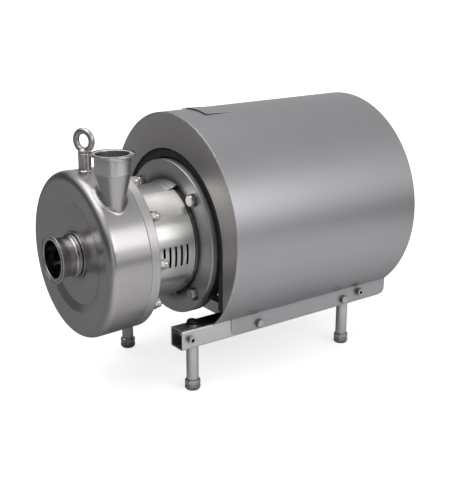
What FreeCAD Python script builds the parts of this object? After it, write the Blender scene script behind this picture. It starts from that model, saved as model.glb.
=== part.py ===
import FreeCAD, Part
import math
import os
from FreeCAD import Matrix, Placement, Rotation, Vector

# Lengths are in millimetres. The pump is laid out about its shaft, which runs along Y at x = 0, z = 0.
# The inlet looks along -Y, and y = 0 is the front face of the adaptor's motor-side flange.
# save() sets every piece on the floor, with the footprint centred on the origin.

# Height and length of the whole pump
shaft_above_floor = 310.0
inlet_face_y = -284.0
shroud_rear_y = 528.0

# Fits and clearances
seat_gap = 0.1
running_gap = 0.3
screw_gap = 0.5
head_lift = 0.15
seat_play = 0.02

# Pump casing: a pressed shell with a dished front
casing_front_radius = 179.5
casing_rear_radius = 177.0
casing_front_y = -244.0
casing_seam_y = -148.0
casing_wall = 4.0
casing_round = 18.0
dish_depth = 5.0
dish_outer_radius = 124.0
dish_inner_radius = 105.0
dish_step = 8.0
rim_inner_radius = 146.0
rim_thickness = 14.0

# Inlet: clamp ferrule on an 85 x 2 tube
inlet_tube_radius = 42.5
inlet_bore_radius = 40.5
inlet_ferrule_radius = 53.0
inlet_groove_radius = 48.5
inlet_collar_radius = 51.5
inlet_collar_length = 9.0
inlet_bead_radius = 47.5
inlet_bead_length = 3.5

# Outlet: clamp ferrule on a 73 x 2 tube, over a cone that widens from the casing's neck
outlet_x = 116.0
outlet_y = -197.0
outlet_face_z = 233.5
outlet_tube_radius = 36.5
outlet_bore_radius = 34.5
outlet_ferrule_radius = 45.5
outlet_groove_radius = 42.5
cone_top_z = 195.0
cone_foot_z = 126.0
neck_radius = 20.5
neck_bore_radius = 18.0
neck_fillet = 12.0

# Clamp ferrules of both connections
ferrule_edge = 2.9
ferrule_slope = 20.0
groove_width = 4.6
groove_depth = 1.5
mouth_round = 2.0

# Lifting post and eye bolt
post_y = -198.0
post_radius = 13.5
post_top_z = 214.5
post_weld = 2.5
eye_outer_radius = 27.0
eye_inner_radius = 13.8
eye_height = 53.0
eye_collar_radius = 13.0
eye_collar_height = 6.0
eye_thread_radius = 6.0
eye_thread_length = 18.0
eye_turn = 23.0

# Impeller: an open disc with curved vanes
impeller_radius = 125.0
impeller_disc = 5.0
impeller_front_gap = 1.0
impeller_rear_gap = 3.0
vane_count = 6
vane_thickness = 5.0
vane_root_radius = 30.0
vane_sweep = 78.0
vane_tip_height = 26.0
vane_curve = 0.85
vane_lean = 28.6
hub_radius = 22.0
hub_front_length = 14.0
hub_rear_length = 24.0
hub_root_round = 2.0
impeller_nut_length = 17.0
impeller_nut_radius = 17.0

# Back plate and shaft seal
back_plate_front_y = -176.0
back_plate_web = 8.0
back_plate_wall = 12.0
back_plate_boss_radius = 60.0
seal_bore_radius = 34.0
seal_ring_length = 11.0
seal_head_radius = 31.0
seal_head_length = 12.0
o_ring_radius = 2.4

# Adaptor between the casing and the motor
adaptor_ring_thickness = 21.0
adaptor_ring_radius = 176.5
adaptor_barrel_radius = 124.0
adaptor_barrel_bore = 110.0
adaptor_flange_radius = 175.0
adaptor_flange_thickness = 14.0
adaptor_neck_round = 26.0
flare_top_x = 40.0
flare_foot_x = 44.0
window_foot_z = -86.0
window_top_z = 88.0
window_inset_x = 70.0
window_margin = 12.0
window_rear_margin = 4.0

# Cap nuts on the casing's studs
stud_circle_radius = 160.5
stud_count = 10
stud_size = 14.0
cap_nut_flats = 22.0
cap_nut_hex = 12.0
cap_nut_length = 25.0

# Guards round the adaptor's windows
guard_thickness = 1.2
guard_top_angle = 70.0
guard_foot_angle = -66.0
guard_front_y = -126.4
guard_rear_y = -9.0
slot_count = 5
slot_pitch = 14.4
slot_width = 5.5
slot_first_y = -86.5
slot_top_z = 19.0
slot_foot_z = -28.0
guard_screw_size = 5.0
guard_screw_head = 9.0
guard_screw_length = 8.0
guard_screw_inset = 14.0
guard_screw_rise = 5.0

# Motor: flange, frame and feet of the standard 160 size
motor_flange_radius = 175.0
motor_flange_thickness = 16.0
motor_spigot_radius = 125.0
motor_spigot_length = 5.0
bolt_circle_radius = 150.0
flange_bolt_size = 16.0
flange_bolt_flats = 24.0
flange_nut_height = 13.0
flange_bolt_end = 2.0
end_disc_thickness = 6.0
collar_wall = 15.0
nut_clearance = 5.0
motor_shaft_height = 160.0
frame_radius = 132.0
frame_wall = 8.0
frame_rear_y = 372.0
fin_height = 22.0
fin_thickness = 4.0
box_fin_gap = 13.0
fin_count = 40
foot_centre_x = 127.0
foot_front_y = 122.0
foot_spacing_y = 210.0
foot_length = 60.0
foot_width = 62.0
foot_thickness = 20.0
foot_hole_radius = 7.5
foot_bolt_size = 12.0
end_shield_thickness = 14.0
cowl_sheet = 2.0
cowl_rear_y = 474.0
cowl_slot_rings = 4

# Motor shaft, rotor and fan
shaft_end_radius = 21.0
shaft_end_length = 110.0
shaft_journal_radius = 22.5
shaft_body_radius = 30.0
front_bearing_radius = 50.0
front_bearing_width = 25.0
rear_bearing_radius = 42.5
rear_bearing_width = 19.0
ball_radius = 7.0
ball_count = 8
core_front_y = 112.0
core_rear_y = 302.0
core_depth = 40.0
winding_outer_gap = 6.0
winding_inner_gap = 8.0
winding_length = 26.0
fan_radius = 112.0
fan_width = 24.0
fan_blades = 7
fan_seat_radius = 19.0

# Stub shaft that the pump turns on, and the ring that clamps it to the motor shaft
stub_radius = 28.0
stub_spindle_radius = 14.0
stub_thread_radius = 10.0
stub_rear_y = -6.0
stub_web = 12.0
clamp_ring_radius = 42.0
clamp_ring_length = 26.0

# Terminal box
box_length_y = 140.0
box_width_x = 150.0
box_front_y = 95.0
box_top_z = 205.0
box_wall = 5.0
box_lid = 12.0
gland_radius = 12.0
gland_length = 28.0

# Shroud: a wrapper of sheet with two end plates
front_plate_width = 52.4
wrapper_drop = 1.71
shroud_sheet = 2.0
shroud_front_y = 10.0
opening_margin = 23.6
skirt_front_y = 58.0
skirt_raise = 4.0
skirt_corner = 14.0
rear_opening_radius = 165.0
flap_half_width = 50.0
flap_front_y = 72.0
flap_rear_y = 143.0
flap_slit = 2.5
flap_lift = 3.0

# Rubber seal between the shroud and the flange
seal_flange_gap = 1.5
seal_side_x = 170.0
seal_foot_z = -129.0
seal_front_y = 7.0
seal_rear_y = 25.0
seal_lip = 7.0

# Base frame
rail_centre_x = 141.5
rail_width = 44.0
rail_wall = 2.5
rail_round = 4.0
rail_front_y = -71.0
rail_rear_y = 512.0
cross_bar_width = 30.0
pad_height = 3.0
pad_front_y = -16.0
pad_rear_y = 56.0

# Legs and adjustable feet
leg_front_y = -31.0
leg_rear_y = 410.0
leg_radius = 13.45
leg_stud_radius = 6.0
leg_foot_z = -286.0
lock_nut_height = 12.0
lock_nut_flats = 30.0
foot_head_flats = 30.0
foot_screw_radius = 9.8
foot_travel = 25.0
foot_hold = 35.0
cap_radius = 12.0
cap_height = 10.0
leg_washer_radius = 14.0
leg_washer_thickness = 4.0
washer_thickness = 2.0

# Screws of the shroud and the rails
skirt_bolt_size = 10.0
skirt_bolt_flats = 16.0
skirt_bolt_rows = (134.0, 390.0)
skirt_bolt_z = -187.0
socket_screw_size = 10.0
rail_screw_y = -50.0
rail_screw_z = -181.0
shroud_screw_y = 440.0
shroud_screw_z = -178.0

# Places that follow from the sizes above
along_x = Vector(1, 0, 0)
along_y = Vector(0, 1, 0)
along_z = Vector(0, 0, 1)
origin = Vector(0, 0, 0)
floor_shift = Vector(0, -(inlet_face_y + shroud_rear_y) / 2, shaft_above_floor)
face_plane_y = casing_front_y + dish_depth + dish_step
adaptor_ring_rear_y = casing_seam_y + adaptor_ring_thickness
motor_face_y = adaptor_flange_thickness
motor_flange_rear_y = motor_face_y + motor_flange_thickness
impeller_disc_rear_y = back_plate_front_y - impeller_rear_gap
impeller_disc_front_y = impeller_disc_rear_y - impeller_disc
hub_front_y = impeller_disc_front_y - hub_front_length
hub_rear_y = impeller_disc_rear_y + hub_rear_length
seal_face_y = back_plate_front_y + seal_head_length
rail_top_z = -motor_shaft_height
rail_foot_z = rail_top_z - rail_width
rail_outer_x = rail_centre_x + rail_width / 2
rail_inner_x = rail_centre_x - rail_width / 2
skirt_foot_z = rail_foot_z + skirt_raise
wrapper_end_x = rail_outer_x + shroud_sheet
seal_inner_radius = motor_flange_radius + seal_flange_gap
opening_radius = motor_flange_radius + opening_margin
shroud_radius = opening_radius + front_plate_width
wrapper_height = math.sqrt(shroud_radius ** 2 - wrapper_end_x ** 2)
shroud_centre_z = rail_top_z - wrapper_drop + wrapper_height
foot_screw_length = foot_travel + foot_hold
lock_nut_foot_z = leg_foot_z - lock_nut_height
front_bearing_y = motor_flange_rear_y + 10.0
collar_radius = bolt_circle_radius - flange_bolt_flats / math.sqrt(3) - nut_clearance
end_disc_front_y = motor_flange_rear_y + flange_nut_height + flange_bolt_end + 1
frame_front_y = end_disc_front_y + end_disc_thickness
frame_bore_radius = frame_radius - frame_wall
rotor_radius = frame_bore_radius - core_depth
fin_tip_radius = frame_radius + fin_height
winding_radius = frame_bore_radius - winding_outer_gap
winding_inner_radius = rotor_radius + winding_inner_gap
rear_bearing_y = frame_rear_y - rear_bearing_width
guard_radius = adaptor_barrel_radius + seat_gap
fan_front_y = frame_rear_y + end_shield_thickness + 12.0


# Basic shapes

def aligned(shape, start, axis):
    shape.Placement = Placement(start, Rotation(along_z, axis))
    return shape


def rod(radius, start, axis, length):
    return Part.makeCylinder(radius, length, start, axis)


def ring(outer_radius, inner_radius, start, axis, length):
    return rod(outer_radius, start, axis, length).cut(rod(inner_radius, start, axis, length))


def hexagon(across_flats, height, start, axis):
    corner = across_flats / math.sqrt(3)
    turns = [math.radians(60 * side) for side in range(7)]
    points = [Vector(corner * math.cos(turn), corner * math.sin(turn), 0) for turn in turns]
    prism = Part.Face(Part.makePolygon(points)).extrude(Vector(0, 0, height))
    return aligned(prism, start, axis)


def box(x_from, x_to, y_from, y_to, z_from, z_to):
    size = Vector(x_to - x_from, y_to - y_from, z_to - z_from)
    return Part.makeBox(size.x, size.y, size.z, Vector(x_from, y_from, z_from))


# A closed outline from corners (u, v) or (u, v, round), each round a true arc
def outline(corners, to_point):
    places = [Vector(corner[0], corner[1], 0) for corner in corners]
    entries = []
    exits = []
    edges = []
    for index, here in enumerate(places):
        corner_round = corners[index][2] if len(corners[index]) > 2 else 0
        to_before = (places[index - 1] - here).normalize()
        to_after = (places[(index + 1) % len(places)] - here).normalize()
        half_angle = to_before.getAngle(to_after) / 2
        reach = corner_round / math.tan(half_angle)
        entries.append(here + to_before * reach)
        exits.append(here + to_after * reach)
        if corner_round:
            inward = (to_before + to_after).normalize()
            middle = here + inward * (corner_round / math.sin(half_angle) - corner_round)
            arc_points = [to_point(point) for point in (entries[-1], middle, exits[-1])]
            edges.append(Part.Arc(*arc_points).toShape())
    for index, leave in enumerate(exits):
        arrive = entries[(index + 1) % len(entries)]
        if (arrive - leave).Length > 1e-6:
            edges.append(Part.makeLine(to_point(leave), to_point(arrive)))
    return Part.Wire(Part.__sortEdges__(edges))


# A turned solid: corners are (radius, distance along the axis) from the base point
def turned(corners, base=origin, axis=along_y, start_angle=0.0, sweep=360.0):
    wire = outline(corners, lambda point: Vector(point.x, 0, point.y))
    solid = Part.Face(wire).revolve(origin, along_z, sweep)
    solid.rotate(origin, along_z, start_angle)
    turn = Placement(base, Rotation(along_z, axis))
    return placed(solid, turn)


def placed(shape, placement):
    shape.Placement = placement.multiply(shape.Placement)
    return shape


# A plate cut from corners (x, z) and standing square to the shaft
def plate(corners, y_from, y_to):
    wire = outline(corners, lambda point: Vector(point.x, y_from, point.y))
    return Part.Face(wire).extrude(Vector(0, y_to - y_from, 0))


def mirrored(shape):
    return shape.mirror(origin, along_x)


def around_shaft(count, radius, y, first_angle=0.0):
    turns = [math.radians(first_angle + 360.0 * step / count) for step in range(count)]
    return [Vector(radius * math.cos(turn), y, radius * math.sin(turn)) for turn in turns]


# Screws, each with its seat under the head and its shank along the axis

def hex_bolt(size, across_flats, length, seat, axis):
    head_height = 0.65 * size
    head = hexagon(across_flats, head_height, seat - axis * head_height, axis)
    edge_cut = turned(
        [(0, 0), (across_flats * 0.48, 0), (across_flats * 0.6, head_height * 0.35),
         (across_flats * 0.6, head_height), (0, head_height)],
        seat - axis * head_height, axis)
    return head.common(edge_cut).fuse(rod(size / 2, seat, axis, length))


def socket_screw(size, length, seat, axis):
    head_radius = size * 0.8
    head = turned([(0, -size), (head_radius, -size, 1.0), (head_radius, 0), (0, 0)], seat, axis)
    socket = hexagon(size * 0.8, size * 0.5, seat - axis * size, axis)
    return head.cut(socket).fuse(rod(size / 2, seat, axis, length))


def save(name, shapes):
    parts = shapes if isinstance(shapes, list) else [shapes]
    whole = parts[0] if len(parts) == 1 else Part.Compound(parts)
    whole = whole.copy()
    whole.translate(floor_shift)
    whole.exportStep(os.path.join("parts", name + ".step"))


# Pump casing

def casing_body():
    rim_y = casing_front_y
    dish_y = casing_front_y + dish_depth
    return turned([
        (0, face_plane_y),
        (dish_inner_radius, face_plane_y, 6),
        (dish_outer_radius, dish_y, 8),
        (casing_front_radius - casing_round, rim_y, 8),
        (casing_front_radius, rim_y + 1, casing_round),
        (casing_rear_radius, casing_seam_y, 1.5),
        (0, casing_seam_y)])


def casing_cavity():
    inner_face_y = face_plane_y + casing_wall
    dish_y = casing_front_y + dish_depth + casing_wall
    inner_radius = casing_front_radius - casing_wall
    rim_face_y = casing_seam_y - rim_thickness
    return turned([
        (0, inner_face_y),
        (dish_inner_radius, inner_face_y, 4),
        (dish_outer_radius, dish_y, 4),
        (inner_radius, dish_y, casing_round - casing_wall),
        (casing_rear_radius - casing_wall, rim_face_y),
        (rim_inner_radius, rim_face_y, 2),
        (rim_inner_radius, casing_seam_y + 1),
        (0, casing_seam_y + 1)])


def stud_places(y):
    return around_shaft(stud_count, stud_circle_radius, y)


def pump_casing():
    neck_base = Vector(outlet_x, outlet_y, 0)
    buried_z = outlet_x - neck_radius
    neck = turned([
        (0, buried_z), (neck_radius, buried_z), (neck_radius, cone_foot_z, 8),
        (outlet_tube_radius, cone_top_z), (0, cone_top_z)],
        neck_base, along_z)
    body = casing_body().fuse(neck)
    joint = [edge for edge in body.Edges if meets_casing(edge)]
    body = body.makeFillet(neck_fillet, joint)
    body = body.cut(casing_cavity())
    passage = turned([
        (0, buried_z - 1), (neck_bore_radius, buried_z - 1), (neck_bore_radius, cone_foot_z),
        (outlet_bore_radius, cone_top_z), (outlet_bore_radius, cone_top_z + 1), (0, cone_top_z + 1)],
        neck_base, along_z)
    body = body.cut(passage)
    hole_length = face_plane_y + 2 * casing_wall - casing_front_y
    inlet_hole = rod(inlet_bore_radius, Vector(0, casing_front_y, 0), along_y, hole_length)
    body = body.cut(inlet_hole)
    stud_length = adaptor_ring_thickness + cap_nut_length * 0.6 + rim_thickness
    for place in stud_places(casing_seam_y - rim_thickness + 4):
        body = body.fuse(rod(stud_size / 2, place, along_y, stud_length - 4))
    return body


# The edges where the outlet's neck and cone come out of the casing's side
def meets_casing(edge):
    span = edge.LastParameter - edge.FirstParameter
    side_length = casing_seam_y - casing_front_y
    for share in (0.1, 0.5, 0.9):
        point = edge.valueAt(edge.FirstParameter + span * share)
        along = (point.y - casing_front_y) / side_length
        side_radius = casing_front_radius + (casing_rear_radius - casing_front_radius) * along
        from_neck = math.hypot(point.x - outlet_x, point.y - outlet_y)
        on_side = abs(math.hypot(point.x, point.z) - side_radius) < 0.3
        if not on_side or from_neck > outlet_tube_radius:
            return False
    return True


# A clamp ferrule at the end of a tube, measured inward from its sealing face
def ferrule_corners(ferrule_radius, tube_radius, bore_radius, groove_radius):
    slope_length = (ferrule_radius - tube_radius) * math.tan(math.radians(ferrule_slope))
    neck_at = ferrule_edge + slope_length
    half_groove = groove_width / 2
    return [
        (bore_radius, 0, mouth_round),
        (groove_radius - half_groove, 0, 0.6),
        (groove_radius - half_groove, groove_depth),
        (groove_radius + half_groove, groove_depth),
        (groove_radius + half_groove, 0, 0.6),
        (ferrule_radius, 0, 0.8),
        (ferrule_radius, ferrule_edge, 0.8),
        (tube_radius, neck_at, 3)]


def inlet_union():
    foot = face_plane_y - inlet_face_y
    corners = ferrule_corners(
        inlet_ferrule_radius, inlet_tube_radius, inlet_bore_radius, inlet_groove_radius)
    collar_at = foot - inlet_collar_length
    corners += [
        (inlet_tube_radius, collar_at - 5, 8),
        (inlet_bead_radius, collar_at - 1, 1.5),
        (inlet_bead_radius, collar_at + inlet_bead_length, 1),
        (inlet_bead_radius - 2, collar_at + inlet_bead_length + 0.8),
        (inlet_collar_radius, collar_at + inlet_bead_length + 1.6, 1.5),
        (inlet_collar_radius, foot),
        (inlet_bore_radius, foot)]
    return turned(corners, Vector(0, inlet_face_y, 0), along_y)


def outlet_union():
    length = outlet_face_z - cone_top_z
    corners = ferrule_corners(
        outlet_ferrule_radius, outlet_tube_radius, outlet_bore_radius, outlet_groove_radius)
    corners += [
        (outlet_tube_radius, length),
        (outlet_bore_radius, length)]
    return turned(corners, Vector(outlet_x, outlet_y, outlet_face_z), -along_z)


def lifting_post():
    foot_z = casing_rear_radius - 12
    top = post_top_z - foot_z
    post = turned([(0, 0), (post_radius, 0), (post_radius, top, 1), (0, top)],
                  Vector(0, post_y, foot_z), along_z)
    weld_z = casing_front_radius - foot_z - 2
    bead = turned([(0, weld_z - 6), (post_radius + post_weld, weld_z - 6),
                   (post_radius + post_weld, weld_z, 1), (post_radius, weld_z + post_weld),
                   (0, weld_z + post_weld)],
                  Vector(0, post_y, foot_z), along_z)
    thread = rod(eye_thread_radius + seat_gap, Vector(0, post_y, post_top_z - eye_thread_length - 1),
                 along_z, eye_thread_length + 2)
    return post.fuse(bead).cut(casing_body()).cut(thread)


def eye_bolt():
    bar_radius = (eye_outer_radius - eye_inner_radius) / 2
    loop_radius = (eye_outer_radius + eye_inner_radius) / 2
    loop_z = post_top_z + eye_height - eye_outer_radius
    loop = Part.makeTorus(loop_radius, bar_radius, Vector(0, post_y, loop_z), along_y)
    loop = loop.cut(rod(2 * eye_outer_radius, Vector(0, post_y, post_top_z - 10), along_z, 10))
    collar = turned([(0, 0), (eye_collar_radius, 0), (eye_collar_radius, eye_collar_height, 1),
                     (bar_radius, eye_collar_height + 5), (0, eye_collar_height + 5)],
                    Vector(0, post_y, post_top_z), along_z)
    thread = rod(eye_thread_radius, Vector(0, post_y, post_top_z - eye_thread_length),
                 along_z, eye_thread_length)
    bolt = loop.fuse(collar).fuse(thread)
    bolt.rotate(Vector(0, post_y, 0), along_z, eye_turn)
    return bolt


# Impeller with backward-curved vanes

def vane_face(angle):
    start = vane_root_radius - 4
    points = []
    for side in (-1, 1):
        offset = side * vane_thickness / 2
        for share in (0.0, 0.5, 1.0):
            radius = start + (impeller_radius - start) * share
            turn = math.radians(angle - vane_sweep * share ** vane_curve)
            direction = Vector(math.cos(turn), 0, math.sin(turn))
            leaning = turn + math.radians(vane_lean)
            across = Vector(-math.sin(leaning), 0, math.cos(leaning))
            points.append(direction * radius + across * offset)
    lower, upper = points[:3], points[3:]
    edges = [
        Part.Arc(*lower).toShape(),
        Part.makeLine(lower[2], upper[2]),
        Part.Arc(*upper).toShape(),
        Part.makeLine(upper[0], lower[0])]
    return Part.Face(Part.Wire(Part.__sortEdges__(edges)))


def impeller():
    vane_front_y = face_plane_y + casing_wall + impeller_front_gap
    tip_front_y = impeller_disc_front_y - vane_tip_height
    disc = turned([
        (0, hub_front_y),
        (hub_radius, hub_front_y, 2),
        (hub_radius + 5, impeller_disc_front_y, 6),
        (impeller_radius, impeller_disc_front_y + 1),
        (impeller_radius, impeller_disc_rear_y),
        (hub_radius, impeller_disc_rear_y, hub_root_round),
        (hub_radius, hub_rear_y),
        (0, hub_rear_y)])
    envelope = turned([
        (vane_root_radius, impeller_disc_front_y + 2),
        (vane_root_radius, vane_front_y, 3),
        (dish_inner_radius - 8, vane_front_y),
        (impeller_radius, tip_front_y),
        (impeller_radius, impeller_disc_front_y + 2)])
    vane_height = impeller_disc_front_y + 3 - vane_front_y
    body = disc
    for step in range(vane_count):
        vane = vane_face(360.0 * step / vane_count).extrude(Vector(0, vane_height, 0))
        vane.translate(Vector(0, vane_front_y, 0))
        body = body.fuse(vane.common(envelope))
    hub_length = hub_rear_y - hub_front_y
    spindle_hole = rod(stub_spindle_radius + seat_gap, Vector(0, hub_front_y - 1, 0), along_y, hub_length + 2)
    return body.cut(spindle_hole)


def impeller_nut():
    nose_y = hub_front_y - impeller_nut_length
    dome = turned([
        (0, nose_y), (impeller_nut_radius * 0.55, nose_y, 3), (impeller_nut_radius, nose_y + 8, 3),
        (impeller_nut_radius, hub_front_y), (0, hub_front_y)])
    flats = hexagon(impeller_nut_radius * 1.9, impeller_nut_length, Vector(0, nose_y, 0), along_y)
    thread = rod(stub_thread_radius + seat_gap, Vector(0, nose_y + 4, 0), along_y, impeller_nut_length)
    return dome.common(flats).cut(thread)


# Back plate and shaft seal

def back_plate():
    edge_radius = rim_inner_radius - seat_gap
    wall_radius = edge_radius - back_plate_wall
    web_rear_y = back_plate_front_y + back_plate_web
    groove_y = back_plate_front_y + 9
    groove_depth_inward = 2 * o_ring_radius + seat_gap
    return turned([
        (seal_bore_radius, back_plate_front_y, 1),
        (edge_radius, back_plate_front_y, 1),
        (edge_radius, groove_y),
        (edge_radius - groove_depth_inward, groove_y),
        (edge_radius - groove_depth_inward, groove_y + 2 * o_ring_radius + 0.6),
        (edge_radius, groove_y + 2 * o_ring_radius + 0.6),
        (edge_radius, casing_seam_y),
        (wall_radius, casing_seam_y),
        (wall_radius, web_rear_y, 4),
        (back_plate_boss_radius, web_rear_y, 3),
        (back_plate_boss_radius, casing_seam_y - 4),
        (seal_head_radius - 5, casing_seam_y - 4),
        (seal_head_radius - 5, seal_face_y + seal_ring_length),
        (seal_bore_radius, seal_face_y + seal_ring_length)])


def casing_o_ring():
    centre_radius = rim_inner_radius - seat_gap - o_ring_radius
    centre_y = back_plate_front_y + 9 + o_ring_radius + 0.3
    return Part.makeTorus(centre_radius, o_ring_radius, Vector(0, centre_y, 0), along_y)


def stationary_seal_ring():
    front_y = seal_face_y + seat_gap
    return turned([
        (hub_radius + 2, front_y, 0.5),
        (seal_head_radius - 2, front_y, 0.5),
        (seal_head_radius - 2, front_y + 4),
        (seal_bore_radius - seat_gap, front_y + 4),
        (seal_bore_radius - seat_gap, seal_face_y + seal_ring_length),
        (hub_radius + 2, seal_face_y + seal_ring_length)])


def rotary_seal_head():
    return turned([
        (hub_radius + seat_gap, impeller_disc_rear_y, hub_root_round),
        (seal_head_radius, impeller_disc_rear_y, 1),
        (seal_head_radius, seal_face_y - 4),
        (seal_head_radius - 3, seal_face_y, 0.5),
        (hub_radius + seat_gap, seal_face_y)])


# Adaptor

def adaptor():
    spigot_bore = motor_spigot_radius + seat_gap
    spigot_floor_y = motor_face_y - motor_spigot_length - 1
    body = turned([
        (adaptor_barrel_bore, casing_seam_y),
        (adaptor_ring_radius, casing_seam_y, 1),
        (adaptor_ring_radius, adaptor_ring_rear_y, 2),
        (adaptor_barrel_radius, adaptor_ring_rear_y, 0.5),
        (adaptor_barrel_radius, 0),
        (adaptor_flange_radius, 0, 2),
        (adaptor_flange_radius, motor_face_y, 2),
        (spigot_bore, motor_face_y),
        (spigot_bore, spigot_floor_y),
        (adaptor_barrel_bore, spigot_floor_y)])
    window_front_y = adaptor_ring_rear_y + window_margin
    window_rear_y = -window_rear_margin
    for side in (-1, 1):
        near, far = sorted((side * window_inset_x, side * (adaptor_barrel_radius + 4)))
        body = body.cut(box(near, far, window_front_y, window_rear_y, window_foot_z, window_top_z))
    body = body.fuse(neck_flare(spigot_bore))
    for place in stud_places(casing_seam_y - 1):
        body = body.cut(rod(stud_size / 2 + screw_gap, place, along_y, adaptor_ring_thickness + 2))
    for place in around_shaft(4, bolt_circle_radius, -1, 45):
        body = body.cut(rod(flange_bolt_size / 2 + screw_gap, place, along_y, adaptor_flange_thickness + 2))
    return body


# The flare that carries the barrel into the rear flange, above and below the guards
def neck_flare(inner_radius):
    flare = turned([
        (adaptor_barrel_radius - 6, -adaptor_neck_round - 4),
        (adaptor_barrel_radius, -adaptor_neck_round - 4),
        (adaptor_barrel_radius, -adaptor_neck_round),
        (adaptor_barrel_radius + 3, -adaptor_neck_round / 2),
        (adaptor_barrel_radius + 9, 0),
        (adaptor_barrel_radius - 6, 0)])
    front_y = -adaptor_neck_round - 5
    top = box(-flare_top_x, flare_top_x, front_y, 1, 0, adaptor_flange_radius)
    foot = box(-flare_foot_x, flare_foot_x, front_y, 1, -adaptor_flange_radius, 0)
    return flare.common(top.fuse(foot))


def cap_nuts():
    nuts = []
    for place in stud_places(adaptor_ring_rear_y):
        base = hexagon(cap_nut_flats, cap_nut_hex, place, along_y)
        dome_radius = cap_nut_flats * 0.47
        envelope = turned([
            (0, 0), (cap_nut_flats * 0.56, 0), (cap_nut_flats * 0.56, cap_nut_hex - 1.5),
            (dome_radius, cap_nut_hex), (dome_radius, cap_nut_length - 4, 2),
            (dome_radius * 0.6, cap_nut_length, 2), (0, cap_nut_length)], place, along_y)
        dome = rod(dome_radius, place + along_y * (cap_nut_hex - 1), along_y, cap_nut_length)
        nut = base.fuse(dome).common(envelope)
        nut = nut.cut(rod(stud_size / 2 + seat_gap, place, along_y, cap_nut_length * 0.65))
        nuts.append(nut)
    return nuts


# Guards

def guard_right():
    sweep = guard_top_angle - guard_foot_angle
    sheet = turned([
        (guard_radius, guard_front_y), (guard_radius + guard_thickness, guard_front_y),
        (guard_radius + guard_thickness, guard_rear_y), (guard_radius, guard_rear_y)],
        origin, along_y, -guard_top_angle, sweep)
    for step in range(slot_count):
        slot_y = slot_first_y + slot_pitch * step
        end_radius = slot_width / 2
        reach = guard_radius * 0.8
        upper = Vector(reach, slot_y, slot_top_z - end_radius)
        lower = Vector(reach, slot_y, slot_foot_z + end_radius)
        slot = rod(end_radius, upper, along_x, guard_radius)
        slot = slot.fuse(rod(end_radius, lower, along_x, guard_radius))
        middle = box(reach, 2 * guard_radius, slot_y - end_radius, slot_y + end_radius, lower.z, upper.z)
        slot = slot.fuse(middle)
        sheet = sheet.cut(slot)
    for place, axis in guard_screw_places():
        hole_radius = guard_screw_size / 2 + seat_gap
        sheet = sheet.cut(rod(hole_radius, place - axis * guard_screw_size, axis, 2 * guard_screw_size))
    return sheet


def guard_screw_places():
    angle = math.radians(guard_foot_angle + guard_screw_rise)
    outward = Vector(math.cos(angle), 0, math.sin(angle))
    radius = guard_radius + guard_thickness
    rows = (guard_front_y + guard_screw_inset, guard_rear_y - guard_screw_inset)
    return [(outward * radius + along_y * y, -outward) for y in rows]


def guard_screws():
    screws = []
    for place, axis in guard_screw_places():
        head_radius = guard_screw_head / 2
        head_height = guard_screw_head / 3
        head = turned([
            (0, -head_height), (head_radius, -head_height, head_height / 2),
            (head_radius, -head_lift), (0, -head_lift)], place, axis)
        screw = head.fuse(rod(guard_screw_size / 2, place - axis, axis, guard_screw_length))
        screws.append(screw)
        screws.append(mirrored(screw))
    return screws


def adaptor_with_guard_holes():
    body = adaptor()
    for place, axis in guard_screw_places():
        hole = rod(guard_screw_size / 2 + seat_gap, place, axis, guard_screw_length + 2)
        body = body.cut(hole).cut(mirrored(hole))
    return body


# Motor

def motor_flange():
    boss_rear_y = front_bearing_y + front_bearing_width
    body = turned([
        (shaft_end_radius + 3, motor_face_y + 2),
        (motor_spigot_radius - 9, motor_face_y + 2),
        (motor_spigot_radius - 9, motor_face_y - motor_spigot_length),
        (motor_spigot_radius, motor_face_y - motor_spigot_length, 1),
        (motor_spigot_radius, motor_face_y),
        (motor_flange_radius, motor_face_y, 2),
        (motor_flange_radius, motor_flange_rear_y, 3),
        (collar_radius, motor_flange_rear_y, 2),
        (collar_radius, end_disc_front_y),
        (frame_radius, end_disc_front_y),
        (frame_radius, frame_front_y),
        (collar_radius - collar_wall, frame_front_y),
        (collar_radius - collar_wall, motor_flange_rear_y + 2, 3),
        (front_bearing_radius + 9, motor_flange_rear_y + 2, 3),
        (front_bearing_radius + 9, boss_rear_y),
        (front_bearing_radius + seat_gap, boss_rear_y),
        (front_bearing_radius + seat_gap, front_bearing_y),
        (shaft_end_radius + 3, front_bearing_y)])
    for place in around_shaft(4, bolt_circle_radius, motor_face_y - 1, 45):
        body = body.cut(rod(flange_bolt_size / 2 + screw_gap, place, along_y, motor_flange_thickness + 2))
    return body


def flange_bolts():
    clamped = washer_thickness + adaptor_flange_thickness + motor_flange_thickness
    grip = clamped + flange_nut_height + flange_bolt_end
    bolts = []
    for place in around_shaft(4, bolt_circle_radius, -washer_thickness, 45):
        bolts.append(hex_bolt(flange_bolt_size, flange_bolt_flats, grip, place, along_y))
        bolts.append(ring(flange_bolt_flats * 0.6, flange_bolt_size / 2 + seat_gap, place,
                          along_y, washer_thickness))
    return bolts


def flange_nuts():
    nuts = []
    for place in around_shaft(4, bolt_circle_radius, motor_flange_rear_y, 45):
        nut = hexagon(flange_bolt_flats, flange_nut_height, place, along_y)
        nuts.append(nut.cut(rod(flange_bolt_size / 2 + seat_gap, place, along_y, flange_nut_height)))
    return nuts


def foot_centres():
    rows = (foot_front_y, foot_front_y + foot_spacing_y)
    return [(side, y) for side in (-1, 1) for y in rows]


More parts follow.
